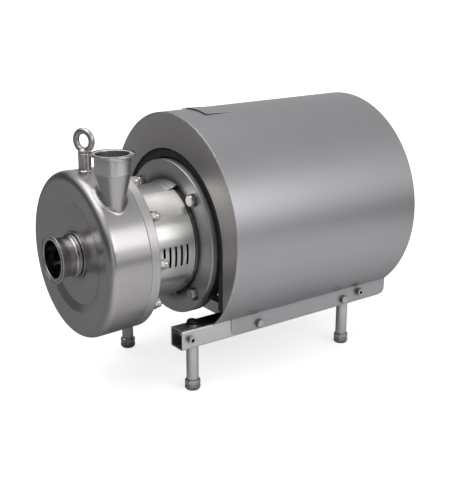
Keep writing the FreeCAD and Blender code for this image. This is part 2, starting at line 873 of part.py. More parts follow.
def motor_housing():
    front = Vector(0, frame_front_y, 0)
    body = ring(frame_radius, frame_bore_radius, front, along_y, frame_rear_y - frame_front_y)
    fin_front_y = frame_front_y + 4
    box_reach = box_width_x / 2 + box_fin_gap
    box_angle = math.degrees(math.asin(box_reach / frame_radius))
    for step in range(fin_count):
        angle = 360.0 * (step + 0.5) / fin_count
        from_top = abs((angle - 90 + 180) % 360 - 180)
        if from_top < box_angle:
            continue
        fin = box(frame_radius - 3, fin_tip_radius, fin_front_y, frame_rear_y - 6,
                  -fin_thickness / 2, fin_thickness / 2)
        fin.rotate(origin, along_y, -angle)
        body = body.fuse(fin)
    for side, y in foot_centres():
        body = body.fuse(motor_foot(side, y))
    bore = rod(frame_bore_radius, front, along_y, frame_rear_y - frame_front_y)
    return body.cut(bore)


def motor_foot(side, y):
    sole_z = -motor_shaft_height
    inner = foot_centre_x - foot_width / 2
    outer = foot_centre_x + foot_width / 2
    half = foot_length / 2
    pad = box(inner, outer, y - half, y + half, sole_z, sole_z + foot_thickness)
    web_outer = foot_centre_x - 12
    frame_side_z = -math.sqrt(frame_radius ** 2 - web_outer ** 2)
    web = box(inner, web_outer, y - half + 6, y + half - 6, sole_z + 5, frame_side_z + 5)
    foot = pad.fuse(web)
    hole = rod(foot_hole_radius, Vector(foot_bolt_x(), y, sole_z - 1), along_z, foot_thickness + 2)
    foot = foot.cut(hole)
    return foot if side > 0 else mirrored(foot)


# The bolt stands as far out as the foot's hole lets it, clear of the rail's inner wall
def foot_bolt_x():
    play = foot_hole_radius - foot_bolt_size / 2
    return foot_centre_x + play


def motor_foot_bolts():
    bolts = []
    for side, y in foot_centres():
        seat = Vector(foot_bolt_x(), y, rail_top_z + foot_thickness)
        bolt = hex_bolt(foot_bolt_size, 18, foot_thickness + rail_wall + 12, seat, -along_z)
        bolts.append(bolt if side > 0 else mirrored(bolt))
    return bolts


def stator_core():
    return ring(frame_bore_radius - seat_gap, rotor_radius + 1, Vector(0, core_front_y, 0), along_y,
                core_rear_y - core_front_y)


def stator_windings():
    rows = (core_front_y - winding_length, core_rear_y)
    return [turned([
        (winding_inner_radius, y, 5),
        (winding_radius, y, 5),
        (winding_radius, y + winding_length, 5),
        (winding_inner_radius, y + winding_length, 5)]) for y in rows]


def rear_end_shield():
    rear_y = frame_rear_y + end_shield_thickness
    boss_radius = rear_bearing_radius + 9
    return turned([
        (fan_seat_radius + 2, rear_y),
        (fan_seat_radius + 2, frame_rear_y),
        (rear_bearing_radius + seat_gap, frame_rear_y),
        (rear_bearing_radius + seat_gap, rear_bearing_y - 4),
        (boss_radius, rear_bearing_y - 4),
        (boss_radius, frame_rear_y + 4, 3),
        (frame_bore_radius - 8, frame_rear_y + 4, 3),
        (frame_bore_radius - 8, frame_rear_y),
        (frame_radius + 10, frame_rear_y, 2),
        (frame_radius + 10, rear_y, 2)])


def fan_cowl():
    outer_radius = frame_radius + 10 + seat_gap + cowl_sheet
    inner_radius = outer_radius - cowl_sheet
    front_y = frame_rear_y + 1
    shell = turned([
        (inner_radius, front_y), (outer_radius, front_y),
        (outer_radius, cowl_rear_y, 10), (0, cowl_rear_y),
        (0, cowl_rear_y - cowl_sheet), (inner_radius, cowl_rear_y - cowl_sheet, 8)])
    for row in range(cowl_slot_rings):
        inner = 26 + 22 * row
        opening = ring(inner + 12, inner, Vector(0, cowl_rear_y - 6, 0), along_y, 12)
        for turn in range(4):
            spoke = box(-outer_radius, outer_radius, cowl_rear_y - 8, cowl_rear_y + 8, -3, 3)
            spoke.rotate(origin, along_y, 22.5 + 45 * turn)
            opening = opening.cut(spoke)
        shell = shell.cut(opening)
    return shell


def terminal_box():
    half = box_width_x / 2
    rear_y = box_front_y + box_length_y
    outer = box(-half, half, box_front_y, rear_y, 0, box_top_z)
    inner = box(-half + box_wall, half - box_wall, box_front_y + box_wall, rear_y - box_wall,
                frame_radius + box_wall, box_top_z + 1)
    body = outer.cut(inner)
    body = body.cut(rod(frame_radius + seat_gap, Vector(0, box_front_y - 1, 0), along_y, box_length_y + 2))
    hole = rod(gland_radius - 3 + seat_gap, gland_place() + along_x * 2 * box_wall, -along_x, 4 * box_wall)
    return body.cut(hole)


def gland_place():
    return Vector(-box_width_x / 2, box_front_y + box_length_y / 2, (frame_radius + box_top_z) / 2 + 6)


def terminal_box_lid():
    half = box_width_x / 2 + 3
    rear_y = box_front_y + box_length_y + 3
    lid = box(-half, half, box_front_y - 3, rear_y, box_top_z, box_top_z + box_lid)
    top_edges = [edge for edge in lid.Edges if edge.BoundBox.ZMin > box_top_z + 1]
    return lid.makeFillet(4, top_edges)


def cable_gland():
    nut = hexagon(gland_radius * 2, 8, gland_place(), -along_x)
    body = turned([
        (0, -10), (gland_radius - 3, -10), (gland_radius - 3, 7), (gland_radius - 1, 7),
        (gland_radius - 1, gland_length, 3), (0, gland_length)], gland_place(), -along_x)
    return nut.fuse(body)


# Motor shaft with the rotor and the fan

def motor_shaft():
    start = motor_face_y - shaft_end_length
    journal_from = front_bearing_y
    rear_to = frame_rear_y
    return turned([
        (0, start), (shaft_end_radius, start, 1.5), (shaft_end_radius, journal_from - 2),
        (shaft_journal_radius, journal_from - 2), (shaft_journal_radius, journal_from + front_bearing_width),
        (shaft_body_radius, journal_from + front_bearing_width), (shaft_body_radius, rear_bearing_y),
        (shaft_journal_radius, rear_bearing_y), (shaft_journal_radius, rear_to - 1),
        (fan_seat_radius, rear_to - 1), (fan_seat_radius, fan_front_y + fan_width + 6, 1),
        (0, fan_front_y + fan_width + 6)])


def rotor_core():
    return ring(rotor_radius, shaft_body_radius + seat_gap, Vector(0, core_front_y, 0), along_y,
                core_rear_y - core_front_y)


def cooling_fan():
    front = Vector(0, fan_front_y, 0)
    hub = ring(fan_seat_radius + 12, fan_seat_radius + seat_gap, front, along_y, fan_width)
    disc = ring(fan_radius - 12, fan_seat_radius + 6, front, along_y, 3)
    body = hub.fuse(disc)
    for step in range(fan_blades):
        blade = box(fan_seat_radius + 8, fan_radius, fan_front_y, fan_front_y + fan_width, -1.5, 1.5)
        blade.rotate(origin, along_y, 360.0 * step / fan_blades)
        body = body.fuse(blade)
    return body


# Each ball runs between an outer and an inner race, both with a round groove

def bearing_spans():
    front = (front_bearing_y, front_bearing_width, front_bearing_radius)
    rear = (rear_bearing_y, rear_bearing_width, rear_bearing_radius)
    return (front, rear)


def ball_track(outer_radius):
    return (outer_radius + shaft_journal_radius) / 2


def race_groove(start, width, track, clearance):
    return Part.makeTorus(track, ball_radius + clearance, Vector(0, start + width / 2, 0), along_y)


def bearing_outer_rings():
    rings = []
    for start, width, outer in bearing_spans():
        track = ball_track(outer)
        race = ring(outer, track + ball_radius * 0.6, Vector(0, start, 0), along_y, width)
        rings.append(race.cut(race_groove(start, width, track, 0.05)))
    return rings


def bearing_inner_rings():
    rings = []
    for start, width, outer in bearing_spans():
        track = ball_track(outer)
        seat_radius = shaft_journal_radius + seat_play
        race = ring(track - ball_radius * 0.6, seat_radius, Vector(0, start, 0), along_y, width)
        rings.append(race.cut(race_groove(start, width, track, 0.1)))
    return rings


def bearing_balls():
    balls = []
    for start, width, outer in bearing_spans():
        for place in around_shaft(ball_count, ball_track(outer), start + width / 2):
            balls.append(Part.makeSphere(ball_radius, place))
    return balls


# Stub shaft

def stub_shaft():
    bore_end_y = motor_face_y - shaft_end_length - 1
    sleeve_front_y = bore_end_y - stub_web
    return turned([
        (0, hub_front_y - impeller_nut_length + 5),
        (stub_thread_radius, hub_front_y - impeller_nut_length + 5, 1),
        (stub_thread_radius, hub_front_y),
        (stub_spindle_radius, hub_front_y),
        (stub_spindle_radius, hub_rear_y),
        (hub_radius, hub_rear_y, 1),
        (hub_radius, sleeve_front_y, 3),
        (stub_radius, sleeve_front_y, 3),
        (stub_radius, stub_rear_y, 1),
        (shaft_end_radius + seat_play, stub_rear_y),
        (shaft_end_radius + seat_play, bore_end_y),
        (0, bore_end_y)])


def clamp_ring():
    front_y = stub_rear_y - clamp_ring_length - 4
    rear_y = front_y + clamp_ring_length
    body = turned([
        (stub_radius + seat_play, front_y, 1), (clamp_ring_radius, front_y, 2),
        (clamp_ring_radius, rear_y, 2), (stub_radius + seat_play, rear_y, 1)])
    for angle in (0, 180):
        place = Vector(stub_radius - 4, front_y + clamp_ring_length / 2, 0)
        hole = rod(4, place, along_x, 30)
        hole.rotate(origin, along_y, angle)
        body = body.cut(hole)
    return body


# Shroud

def side_drop_z(radius, x):
    return shroud_centre_z - math.sqrt(radius ** 2 - x ** 2)


def wrapper_outline(y, foot_z):
    outer_x = wrapper_end_x
    inner_radius = shroud_radius - shroud_sheet
    outer_z = side_drop_z(shroud_radius, outer_x)
    inner_z = side_drop_z(inner_radius, rail_outer_x)
    top = Vector(0, y, shroud_centre_z + shroud_radius)
    inner_top = Vector(0, y, shroud_centre_z + inner_radius)
    outer_arc = Part.Arc(Vector(outer_x, y, outer_z), top, Vector(-outer_x, y, outer_z)).toShape()
    inner_near = Vector(rail_outer_x, y, inner_z)
    inner_far = Vector(-rail_outer_x, y, inner_z)
    inner_arc = Part.Arc(inner_near, inner_top, inner_far).toShape()
    edges = [outer_arc, inner_arc]
    for side in (-1, 1):
        outer_top = Vector(side * outer_x, y, outer_z)
        inner_edge = Vector(side * rail_outer_x, y, inner_z)
        if foot_z < min(outer_z, inner_z):
            outer_foot = Vector(side * outer_x, y, foot_z)
            inner_foot = Vector(side * rail_outer_x, y, foot_z)
            edges.append(Part.makeLine(outer_top, outer_foot))
            edges.append(Part.makeLine(outer_foot, inner_foot))
            edges.append(Part.makeLine(inner_foot, inner_edge))
        else:
            edges.append(Part.makeLine(outer_top, inner_edge))
    return Part.Face(Part.Wire(Part.__sortEdges__(edges)))


def shroud_wrapper():
    front = wrapper_outline(shroud_front_y, 0).extrude(Vector(0, skirt_front_y - shroud_front_y, 0))
    rear = wrapper_outline(skirt_front_y, skirt_foot_z).extrude(Vector(0, shroud_rear_y - skirt_front_y, 0))
    corners = [edge for edge in rear.Edges if is_skirt_corner(edge)]
    rear = rear.makeFillet(skirt_corner, corners)
    body = front.fuse(rear)
    body = body.cut(flap_window()).fuse(flap())
    for place, _ in skirt_bolt_places():
        hole = rod(skirt_bolt_size / 2 + seat_gap, place - along_x * 4, along_x, 10)
        body = body.cut(hole).cut(mirrored(hole))
    screw_place = Vector(rail_outer_x - 2, shroud_screw_y, shroud_screw_z)
    hole = rod(socket_screw_size / 2 + seat_gap, screw_place, along_x, 8)
    return body.cut(hole).cut(mirrored(hole))


# The short edges across the sheet at the skirt's lower corners
def is_skirt_corner(edge):
    bounds = edge.BoundBox
    low = bounds.ZMax < skirt_foot_z + 0.1
    return low and bounds.YLength < 0.1 and bounds.XLength < shroud_sheet + 0.1


def flap_window():
    top_z = shroud_centre_z + shroud_radius
    return box(-flap_half_width, flap_half_width, flap_front_y, flap_rear_y, top_z - 20, top_z + 10)


# The flap is a tongue of the same sheet, bent up a little along its rear edge
def flap():
    half = flap_half_width - flap_slit
    start = Vector(0, flap_front_y + flap_slit, shroud_centre_z)
    sheet = ring(shroud_radius, shroud_radius - shroud_sheet, start, along_y, flap_rear_y - start.y)
    tongue = sheet.common(box(-half, half, flap_front_y, flap_rear_y, 0, 2 * shroud_radius))
    rise = flap_lift / (flap_rear_y - flap_front_y)
    bend = Matrix()
    bend.A32 = -rise
    bend.A34 = rise * flap_rear_y
    return tongue.transformGeometry(bend)


def shroud_front_plate():
    centre = Vector(0, shroud_front_y, shroud_centre_z)
    disc = rod(shroud_radius - shroud_sheet - seat_gap, centre, along_y, shroud_sheet)
    opening = rod(opening_radius, Vector(0, shroud_front_y - 1, 0), along_y, shroud_sheet + 2)
    below = box(-opening_radius, opening_radius, shroud_front_y - 1, shroud_front_y + shroud_sheet + 1,
                -2 * shroud_radius, 0)
    return disc.cut(opening).cut(below)


def shroud_rear_plate():
    front_y = shroud_rear_y - shroud_sheet
    centre = Vector(0, front_y, shroud_centre_z)
    disc = rod(shroud_radius - shroud_sheet - seat_gap, centre, along_y, shroud_sheet)
    plate_foot_z = rail_top_z + 3
    below = box(-shroud_radius, shroud_radius, front_y - 1, shroud_rear_y + 1,
                -2 * shroud_radius, plate_foot_z)
    opening = rod(rear_opening_radius, Vector(0, front_y - 1, 0), along_y, shroud_sheet + 2)
    return disc.cut(below).cut(opening)


# The seal is an arch: round over the flange, with straight legs down both sides

def arch(outer_radius, y_from, y_to):
    length = y_to - y_from
    start = Vector(0, y_from, 0)
    outer = rod(outer_radius, start, along_y, length)
    outer = outer.fuse(box(-outer_radius, outer_radius, y_from, y_to, seal_foot_z, 0))
    inner = rod(seal_inner_radius, start, along_y, length)
    inner = inner.fuse(box(-seal_side_x, seal_side_x, y_from, y_to, -2 * seal_inner_radius, 0))
    upper = box(-outer_radius, outer_radius, y_from, y_to, seal_foot_z, outer_radius)
    return outer.common(upper).cut(inner)


def shroud_seal():
    behind_plate_y = shroud_front_y + shroud_sheet
    front = arch(opening_radius - running_gap, seal_front_y, behind_plate_y)
    rear = arch(opening_radius + seal_lip, behind_plate_y, seal_rear_y)
    inside = rod(shroud_radius - shroud_sheet - seat_gap, Vector(0, seal_front_y, shroud_centre_z), along_y,
                 seal_rear_y - seal_front_y)
    return front.fuse(rear).common(inside)


# Base frame

def rail():
    half = rail_width / 2
    inner_half = half - rail_wall
    left = rail_centre_x - half
    right = rail_centre_x + half
    outer = plate([
        (left, rail_foot_z, rail_round), (right, rail_foot_z, rail_round),
        (right, rail_top_z, rail_round), (left, rail_top_z, rail_round)], rail_front_y, rail_rear_y)
    hollow = box(rail_centre_x - inner_half, rail_centre_x + inner_half, rail_front_y - 1, rail_rear_y + 1,
                 rail_foot_z + rail_wall, rail_top_z - rail_wall)
    body = outer.cut(hollow)
    for side, y in foot_centres():
        block = box(rail_inner_x + rail_wall, foot_bolt_x() + 14, y - 18, y + 18,
                    rail_top_z - rail_wall - 12, rail_top_z - rail_wall)
        body = body.fuse(block)
        hole = rod(foot_bolt_size / 2 + seat_gap, Vector(foot_bolt_x(), y, rail_top_z + 1), -along_z, 20)
        body = body.cut(hole)
    for y in skirt_bolt_rows:
        place = Vector(rail_outer_x - 5, y, skirt_bolt_z)
        body = body.cut(rod(skirt_bolt_size / 2 + seat_gap, place, along_x, 10))
    hole_radius = socket_screw_size / 2 + seat_gap
    body = body.cut(rod(hole_radius, Vector(rail_outer_x - 5, shroud_screw_y, shroud_screw_z), along_x, 10))
    place = Vector(rail_inner_x - 5, rail_screw_y, rail_screw_z)
    body = body.cut(rod(hole_radius, place, along_x, rail_width + 10))
    for y in (leg_front_y, leg_rear_y):
        base = Vector(rail_centre_x, y, rail_foot_z - 1)
        body = body.cut(rod(leg_stud_radius + seat_gap, base, along_z, rail_width + 2))
    return body


def cross_bar(y):
    half = cross_bar_width / 2
    top = rail_foot_z + cross_bar_width + 4
    outer = box(-rail_inner_x, rail_inner_x, y - half, y + half, rail_foot_z + 4, top)
    inner = box(-rail_inner_x - 1, rail_inner_x + 1, y - half + rail_wall, y + half - rail_wall,
                rail_foot_z + 4 + rail_wall, top - rail_wall)
    return outer.cut(inner)


def rail_pads():
    pad = plate([
        (rail_inner_x + 2, rail_top_z), (rail_outer_x - 2, rail_top_z),
        (rail_outer_x - 2, rail_top_z + pad_height, 1), (rail_inner_x + 2, rail_top_z + pad_height, 1)],
        pad_front_y, pad_rear_y)
    return [pad, mirrored(pad)]


# Legs: a tube with a stud through the rail, and a hex-headed foot screw in its lower end

def leg(side, y):
    top = rail_foot_z
    length = top - leg_foot_z
    base = Vector(side * rail_centre_x, y, leg_foot_z)
    bore = foot_screw_radius + running_gap
    tube = turned([(0, 0), (leg_radius, 0, 0.8), (leg_radius, length), (0, length)], base, along_z)
    stud_top = rail_top_z + leg_washer_thickness + cap_height - 5
    stud = rod(leg_stud_radius, Vector(side * rail_centre_x, y, top - 4), along_z, stud_top - top + 4)
    hole_length = min(length - 8, foot_screw_length + 6)
    return tube.cut(rod(bore, base, along_z, hole_length)).fuse(stud)


def leg_places():
    return [(side, y) for side in (-1, 1) for y in (leg_front_y, leg_rear_y)]


def lock_nuts():
    nuts = []
    for side, y in leg_places():
        start = Vector(side * rail_centre_x, y, lock_nut_foot_z)
        nut = hexagon(lock_nut_flats, lock_nut_height, start, along_z)
        edge = turned([
            (0, 0), (lock_nut_flats * 0.5, 0), (lock_nut_flats * 0.58, 2),
            (lock_nut_flats * 0.58, lock_nut_height - 2), (lock_nut_flats * 0.5, lock_nut_height),
            (0, lock_nut_height)], start, along_z)
        nut = nut.common(edge).cut(rod(foot_screw_radius + running_gap, start, along_z, lock_nut_height))
        nuts.append(nut)
    return nuts


def foot_screw(side, y):
    floor_z = -shaft_above_floor
    head_top = lock_nut_foot_z - running_gap
    height = head_top - floor_z
    start = Vector(side * rail_centre_x, y, floor_z)
    head = hexagon(foot_head_flats, height, start, along_z)
    edge = turned([
        (0, 0), (foot_head_flats * 0.46, 0), (foot_head_flats * 0.58, 3.5),
        (foot_head_flats * 0.58, height - 1.5), (foot_head_flats * 0.5, height), (0, height)], start, along_z)
    shank = rod(foot_screw_radius, Vector(side * rail_centre_x, y, head_top - 1), along_z, foot_screw_length)
    return head.common(edge).fuse(shank)


def leg_caps():
    caps = []
    for side, y in leg_places():
        base = Vector(side * rail_centre_x, y, rail_top_z + leg_washer_thickness)
        cap = turned([(0, 0), (cap_radius, 0), (cap_radius, cap_height, 7), (0, cap_height)], base, along_z)
        hole = rod(leg_stud_radius + seat_gap, base, along_z, cap_height - 4.5)
        caps.append(cap.cut(hole))
    return caps


def leg_washers():
    seats = [Vector(side * rail_centre_x, y, rail_top_z) for side, y in leg_places()]
    return [ring(leg_washer_radius, leg_stud_radius + seat_gap, seat, along_z, leg_washer_thickness)
            for seat in seats]


# Screws in the rails and skirts

def skirt_bolt_places():
    return [(Vector(wrapper_end_x, y, skirt_bolt_z), -along_x) for y in skirt_bolt_rows]


def skirt_bolts():
    bolts = []
    for place, axis in skirt_bolt_places():
        washer_seat = place - axis * washer_thickness
        bolt = hex_bolt(skirt_bolt_size, skirt_bolt_flats, 12, washer_seat, axis)
        washer_radius = skirt_bolt_flats * 0.62
        washer = ring(washer_radius, skirt_bolt_size / 2 + seat_gap, washer_seat, axis, washer_thickness)
        bolts += [bolt, washer, mirrored(bolt), mirrored(washer)]
    return bolts


def socket_screws():
    rail_seat = Vector(rail_outer_x, rail_screw_y, rail_screw_z)
    skirt_seat = Vector(wrapper_end_x, shroud_screw_y, shroud_screw_z)
    on_rail = socket_screw(socket_screw_size, rail_width + 4, rail_seat, -along_x)
    on_skirt = socket_screw(socket_screw_size, 12, skirt_seat, -along_x)
    return [on_rail, mirrored(on_rail), on_skirt, mirrored(on_skirt)]


def build():
    os.makedirs("parts", exist_ok=True)
    save("pump_casing", pump_casing())
    save("inlet_union", inlet_union())
    save("outlet_union", outlet_union())
    save("lifting_post", lifting_post())
    save("eye_bolt", eye_bolt())
    save("casing_o_ring", casing_o_ring())
    save("back_plate", back_plate())
    save("stationary_seal_ring", stationary_seal_ring())
    save("rotary_seal_head", rotary_seal_head())
    save("impeller", impeller())
    save("impeller_nut", impeller_nut())
    save("adaptor", adaptor_with_guard_holes())
    save("cap_nuts", cap_nuts())
    save("guard_right", guard_right())
    save("guard_left", mirrored(guard_right()))
    save("guard_screws", guard_screws())
    save("flange_bolts", flange_bolts())
    save("flange_nuts", flange_nuts())
    save("motor_flange", motor_flange())
    save("motor_housing", motor_housing())
    save("motor_foot_bolts", motor_foot_bolts())
    save("stator_core", stator_core())
    save("stator_windings", stator_windings())
    save("rear_end_shield", rear_end_shield())
    save("fan_cowl", fan_cowl())
    save("terminal_box", terminal_box())
    save("terminal_box_lid", terminal_box_lid())
    save("cable_gland", cable_gland())
    save("motor_shaft", motor_shaft())
    save("rotor_core", rotor_core())
    save("cooling_fan", cooling_fan())
    save("bearing_outer_rings", bearing_outer_rings())
    save("bearing_inner_rings", bearing_inner_rings())
    save("bearing_balls", bearing_balls())
    save("stub_shaft", stub_shaft())
    save("clamp_ring", clamp_ring())
    save("shroud_wrapper", shroud_wrapper())
    save("shroud_front_plate", shroud_front_plate())
    save("shroud_rear_plate", shroud_rear_plate())
    save("shroud_seal", shroud_seal())
    save("rail_right", rail())
    save("rail_left", mirrored(rail()))
    save("front_cross_bar", cross_bar(foot_front_y))
    save("rear_cross_bar", cross_bar(foot_front_y + foot_spacing_y))
    save("rail_pads", rail_pads())
    for side, y in leg_places():
        corner = ("front" if y == leg_front_y else "rear") + ("_right" if side > 0 else "_left")
        save("leg_" + corner, leg(side, y))
        save("foot_screw_" + corner, foot_screw(side, y))
    save("lock_nuts", lock_nuts())
    save("leg_caps", leg_caps())
    save("leg_washers", leg_washers())
    save("skirt_bolts", skirt_bolts())
    save("socket_screws", socket_screws())


build()
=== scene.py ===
import math
import bmesh
import bpy
from mathutils import Matrix, Vector


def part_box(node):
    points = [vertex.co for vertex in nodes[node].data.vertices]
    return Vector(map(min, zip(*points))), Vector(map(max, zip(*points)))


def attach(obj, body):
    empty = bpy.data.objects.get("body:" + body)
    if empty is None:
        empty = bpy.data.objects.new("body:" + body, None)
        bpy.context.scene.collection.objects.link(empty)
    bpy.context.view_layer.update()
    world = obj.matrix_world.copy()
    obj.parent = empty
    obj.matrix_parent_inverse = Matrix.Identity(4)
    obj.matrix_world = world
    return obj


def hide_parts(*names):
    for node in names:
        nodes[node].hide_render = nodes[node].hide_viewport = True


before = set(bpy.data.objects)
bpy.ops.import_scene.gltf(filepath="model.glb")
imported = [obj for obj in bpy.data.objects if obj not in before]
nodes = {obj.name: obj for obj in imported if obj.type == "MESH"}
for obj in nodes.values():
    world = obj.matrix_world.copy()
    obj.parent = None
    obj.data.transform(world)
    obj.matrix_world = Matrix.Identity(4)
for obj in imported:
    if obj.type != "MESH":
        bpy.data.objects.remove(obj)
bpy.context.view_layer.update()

# A centrifugal pump on its frame, in a pale studio: lengths in metres, the inlet faces -y
adaptorLow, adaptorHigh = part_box("adaptor")
shaftHeight = (adaptorLow.z + adaptorHigh.z) / 2
print("frame loaded")


# The upright axis that an outlet or a post is turned about
def uprightAxis(name):
    low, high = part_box(name)
    return (low.x + high.x) / 2, (low.y + high.y) / 2


# Helpers for node trees: a value is a number, a colour, or the socket of another node

def addNode(tree, kind, **settings):
    node = tree.nodes.new(kind)
    for key, value in settings.items():
        if key in node.inputs:
            node.inputs[key].default_value = value
        else:
            setattr(node, key, value)
    return node


def feed(tree, socket, value):
    if isinstance(value, bpy.types.NodeSocket):
        tree.links.new(value, socket)
    elif isinstance(value, tuple):
        socket.default_value = (*value, 1)
    else:
        socket.default_value = value


def calc(tree, operation, first, second=None):
    node = addNode(tree, "ShaderNodeMath", operation=operation)
    feed(tree, node.inputs[0], first)
    if second is not None:
        feed(tree, node.inputs[1], second)
    return node.outputs[0]


# Mixes two numbers, or two colours if either is given as one
def blend(tree, share, first, second):
    isColour = isinstance(first, tuple) or isinstance(second, tuple)
    node = addNode(tree, "ShaderNodeMix", data_type="RGBA" if isColour else "FLOAT")
    for name, value in (("Factor", share), ("A", first), ("B", second)):
        feed(tree, node.inputs[name], value)
    return node.outputs["Result"]


# Takes a value that runs from 0 to 1 to one that runs from low to high
def spread(tree, value, low, high):
    node = addNode(tree, "ShaderNodeMapRange")
    node.inputs["To Min"].default_value = low
    node.inputs["To Max"].default_value = high
    tree.links.new(value, node.inputs["Value"])
    return node.outputs["Result"]


# Rises softly from 0 to 1 between two values, of which either may be the greater
def fade(tree, value, nothingAt, fullAt):
    node = addNode(tree, "ShaderNodeMapRange", interpolation_type="SMOOTHSTEP")
    node.inputs["From Min"].default_value = min(nothingAt, fullAt)
    node.inputs["From Max"].default_value = max(nothingAt, fullAt)
    node.inputs["To Min"].default_value = 1.0 if nothingAt > fullAt else 0.0
    node.inputs["To Max"].default_value = 0.0 if nothingAt > fullAt else 1.0
    tree.links.new(value, node.inputs["Value"])
    return node.outputs["Result"]


def split(tree, vector):
    node = addNode(tree, "ShaderNodeSeparateXYZ")
    tree.links.new(vector, node.inputs[0])
    return node.outputs


def join(tree, parts):
    node = addNode(tree, "ShaderNodeCombineXYZ")
    for socket, value in zip(node.inputs, parts):
        feed(tree, socket, value)
    return node.outputs[0]


def objectPlace(tree):
    return addNode(tree, "ShaderNodeTexCoord").outputs["Object"]


def noise(tree, coords, scale, detail, roughness=0.5):
    node = addNode(tree, "ShaderNodeTexNoise", Scale=scale, Detail=detail, Roughness=roughness)
    tree.links.new(coords, node.inputs["Vector"])
    return node.outputs["Fac"]


# Radius and angle about an axis, from the two offsets across it
def polar(tree, across, up):
    squares = calc(tree, "ADD", calc(tree, "MULTIPLY", across, across), calc(tree, "MULTIPLY", up, up))
    return calc(tree, "SQRT", squares), calc(tree, "ARCTAN2", up, across)


def newMaterial(name):
    material = bpy.data.materials.new(name)
    material.use_nodes = True
    return material, material.node_tree, material.node_tree.nodes["Principled BSDF"]


# How finely rounded edges and the painted shade in corners are sampled, and how fast an edge whitens, as
# wear, and on steel also as a painted highlight
shadingSamples = 4
edgeGain = 4.0


# The normal as if each edge were rounded this wide
def roundedNormal(tree, width):
    return addNode(tree, "ShaderNodeBevel", samples=shadingSamples, Radius=width).outputs[0]


# White along sharp edges, where the rounded normal leaves the face's own
def edgeMask(tree, width):
    match = addNode(tree, "ShaderNodeVectorMath", operation="DOT_PRODUCT")
    tree.links.new(roundedNormal(tree, width), match.inputs[0])
    tree.links.new(addNode(tree, "ShaderNodeNewGeometry").outputs["Normal"], match.inputs[1])
    return spread(tree, calc(tree, "SUBTRACT", 1.0, match.outputs["Value"]), 0.0, edgeGain)


def addBump(tree, surface, height, strength, distance, normal=None):
    bump = addNode(tree, "ShaderNodeBump", Strength=strength, Distance=distance)
    tree.links.new(height, bump.inputs["Height"])
    if normal is not None:
        tree.links.new(normal, bump.inputs["Normal"])
    tree.links.new(bump.outputs[0], surface.inputs["Normal"])


# What every metal and every paint starts from, unless its own look says otherwise
metalDefaults = {
    "cloudDetail": 4.0, "cloudRoughness": 0.6,      # slow changes over a piece
    "grainDetail": 2.0, "grainRoughness": 0.65,     # the marks of brushing or turning
    "grainShare": 0.35,                             # of the colour's changes, the rest is cloud
    "tintReach": (-0.3, 1.3),                       # widens the mottle, as noise keeps near its middle
    "bumpHeight": 0.0001,
    "anisotropic": 0.0,
    "cornerShadeTint": (0.03, 0.028, 0.026),              # painted shade darkens corners within its reach
    "cornerShadeReach": 0.02, "cornerShadeDepth": 0.8, "ownCornersOnly": False}

paintDefaults = {
    "cloudScale": 9.0, "cloudDetail": 4.0,
    "peelDetail": 2.0, "bumpHeight": 0.0002,
    "edgeWidth": 0.0008}


# Offsets from the axis that the grain goes round; a straight grain keeps the place as it is
def grainOffsets(tree, place, grain):
    x, y, z = split(tree, place)
    if grain["lay"] == "aroundShaft":
        return x, y, calc(tree, "SUBTRACT", z, shaftHeight)
    if grain["lay"] == "aroundUpright":
        return calc(tree, "SUBTRACT", x, grain["axis"][0]), calc(tree, "SUBTRACT", y, grain["axis"][1]), z
    return x, y, z


# Coordinates that draw the noise out along the grain
def grainCoords(tree, offsets, grain):
    x, y, z = offsets
    if grain["lay"] == "aroundShaft":
        radius, angle = polar(tree, x, z)
        return join(tree, (radius, y, calc(tree, "MULTIPLY", angle, grain["stretch"])))
    if grain["lay"] == "aroundUpright":
        radius, angle = polar(tree, x, y)
        return join(tree, (radius, z, calc(tree, "MULTIPLY", angle, grain["stretch"])))
    if grain["lay"] == "alongShaft":
        return join(tree, (x, calc(tree, "MULTIPLY", y, grain["stretch"]), z))
    return join(tree, offsets)


# The way the grain runs: round its axis, or along the shaft
def grainWay(tree, offsets, grain):
    x, y, z = offsets
    if grain["lay"] == "aroundShaft":
        return join(tree, (calc(tree, "MULTIPLY", z, -1.0), 0.0, x))
    if grain["lay"] == "aroundUpright":
        return join(tree, (calc(tree, "MULTIPLY", y, -1.0), x, 0.0))
    return join(tree, (0.0, 1.0, 0.0))


# Gloss streaks across the grain
def brush(tree, surface, way, amount):
    inWorld = addNode(tree, "ShaderNodeVectorTransform", vector_type="VECTOR", convert_from="OBJECT",
                      convert_to="WORLD")
    tree.links.new(way, inWorld.inputs[0])
    tree.links.new(inWorld.outputs[0], surface.inputs["Tangent"])
    surface.inputs["Anisotropic"].default_value = amount
    surface.inputs["Anisotropic Rotation"].default_value = 0.25    # a quarter turn
